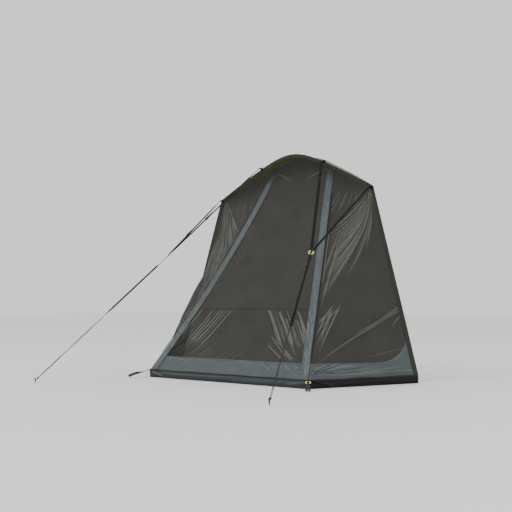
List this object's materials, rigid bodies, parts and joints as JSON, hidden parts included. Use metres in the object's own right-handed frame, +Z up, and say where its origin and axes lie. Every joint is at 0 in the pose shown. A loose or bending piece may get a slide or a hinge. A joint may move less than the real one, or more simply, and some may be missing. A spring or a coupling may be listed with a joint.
{
  "type": "screen room",
  "caption": "Zip-in insect-screen room for a tent's porch arch: sloping mesh walls, cloth corner tapes and skirts, a shallow groundsheet tub, door zips, V guy lines and corner peg-out straps.",
  "frame": {"origin": "on the ground under the middle of the object's box, the free guy cords left out", "axes": "+Z up; -Y is the front, where the mesh wall faces; +Y is the open back, which zips to the tent; +X is to the right seen from the front"},
  "size_m": [2.4856, 2.1019, 1.9405],
  "materials": {
    "mesh": "fine woven no-see-um polyester mesh, dark olive grey",
    "tape": "coated polyester, light blue grey, satin",
    "skirt": "coated polyester, slate blue grey, satin",
    "tub": "heavy coated polyester, dark slate, slight gloss",
    "floor": "heavy coated polyester, near black",
    "eave": "shaded olive-lime polyester",
    "webbing": "woven polypropylene webbing, black",
    "ring": "moulded acetal, lemon yellow",
    "buckle": "moulded nylon, black",
    "zip": "nylon coil zip, near black",
    "slider": "die-cast zip slider, black paint",
    "cord": "braided polyester cord, dark grey with a light fleck",
    "peg": "dark plated steel rod"
  },
  "bodies": {
    "root": {"corner_tab_left": "webbing", "corner_tab_right": "webbing", "corner_tape_left": "tape", "corner_tape_right": "tape", "crown_zip_tape": "zip", "eave_panel": "eave", "front_mesh_lower": "mesh", "front_mesh_upper": "mesh", "front_skirt": "skirt", "groundsheet": "floor", "guy_loop_inner_left": "webbing", "guy_loop_inner_right": "webbing", "guy_loop_outer_left": "webbing", "guy_loop_outer_right": "webbing", "leg_zip_tape_left": "zip", "leg_zip_tape_right": "zip", "mesh_seam_tape": "webbing", "side_mesh_left": "mesh", "side_mesh_right": "mesh", "side_skirt_left": "skirt", "side_skirt_right": "skirt", "sill_front": "tape", "sill_left": "tape", "sill_right": "tape", "tub_front": "tub", "tub_left": "tub", "tub_right": "tub", "zip_chain_left": "zip", "zip_chain_right": "zip"},
    "zip_slider_right": {"zip_slider_right": "slider"},
    "zip_pull_right": {"zip_pull_right": "zip"},
    "guy_line_right": {"guy_leg_inner_right": "webbing", "guy_leg_outer_right": "webbing", "guy_ring_right": "ring", "guy_webbing_right": "webbing", "guy_cord_right": "cord", "guy_peg_right": "peg"},
    "guy_buckle_inner_right": {"guy_buckle_inner_right": "buckle"},
    "guy_buckle_outer_right": {"guy_buckle_outer_right": "buckle"},
    "corner_pegout_right": {"corner_ring_right": "ring", "corner_strap_right": "webbing"},
    "zip_slider_left": {"zip_slider_left": "slider"},
    "zip_pull_left": {"zip_pull_left": "zip"},
    "guy_line_left": {"guy_leg_inner_left": "webbing", "guy_leg_outer_left": "webbing", "guy_ring_left": "ring", "guy_webbing_left": "webbing", "guy_cord_left": "cord", "guy_peg_left": "peg"},
    "guy_buckle_inner_left": {"guy_buckle_inner_left": "buckle"},
    "guy_buckle_outer_left": {"guy_buckle_outer_left": "buckle"},
    "corner_pegout_left": {"corner_ring_left": "ring", "corner_strap_left": "webbing"}
  },
  "joints": [
    {"name": "zip_travel_right", "type": "hinge", "parent": "root", "child": "zip_slider_right", "pos_m": [6.51634, -9.07618, 8.28642], "axis": [0.8654, 0.4935, -0.0869], "range_deg": [-1.4, 5.4]},
    {"name": "zip_pull_lift_right", "type": "hinge", "parent": "zip_slider_right", "child": "zip_pull_right", "pos_m": [0.67971, -0.21021, 0.4845], "axis": [-0.8654, -0.4935, 0.0869], "range_deg": [0, 150]},
    {"name": "guy_lift_right", "type": "hinge", "parent": "root", "child": "guy_line_right", "pos_m": [0.5695, 0.4125, 1.711], "axis": [-0.8694, -0.0094, 0.4941], "range_deg": [0, 60]},
    {"name": "guy_adjust_inner_right", "type": "slide", "parent": "guy_line_right", "child": "guy_buckle_inner_right", "axis": [0.3354, -0.6454, -0.6862], "range_m": [-0.2, 0.2]},
    {"name": "guy_adjust_outer_right", "type": "slide", "parent": "guy_line_right", "child": "guy_buckle_outer_right", "axis": [-0.0507, -0.8077, -0.5875], "range_m": [-0.2, 0.2]},
    {"name": "corner_lift_right", "type": "hinge", "parent": "root", "child": "corner_pegout_right", "pos_m": [0.81394, -0.52255, 0.05592], "axis": [-0.8416, -0.5401, 0], "range_deg": [0, 70]},
    {"name": "zip_travel_left", "type": "hinge", "parent": "root", "child": "zip_slider_left", "pos_m": [-6.51634, -9.07618, 8.28642], "axis": [0.8654, -0.4935, 0.0869], "range_deg": [-1.4, 5.4]},
    {"name": "zip_pull_lift_left", "type": "hinge", "parent": "zip_slider_left", "child": "zip_pull_left", "pos_m": [-0.67971, -0.21021, 0.4845], "axis": [-0.8654, 0.4935, -0.0869], "range_deg": [0, 150]},
    {"name": "guy_lift_left", "type": "hinge", "parent": "root", "child": "guy_line_left", "pos_m": [-0.5695, 0.4125, 1.711], "axis": [-0.8694, 0.0094, -0.4941], "range_deg": [0, 60]},
    {"name": "guy_adjust_inner_left", "type": "slide", "parent": "guy_line_left", "child": "guy_buckle_inner_left", "axis": [-0.3354, -0.6454, -0.6862], "range_m": [-0.2, 0.2]},
    {"name": "guy_adjust_outer_left", "type": "slide", "parent": "guy_line_left", "child": "guy_buckle_outer_left", "axis": [0.0507, -0.8077, -0.5875], "range_m": [-0.2, 0.2]},
    {"name": "corner_lift_left", "type": "hinge", "parent": "root", "child": "corner_pegout_left", "pos_m": [-0.81394, -0.52255, 0.05592], "axis": [-0.8416, 0.5401, 0], "range_deg": [0, 70]}
  ]
}
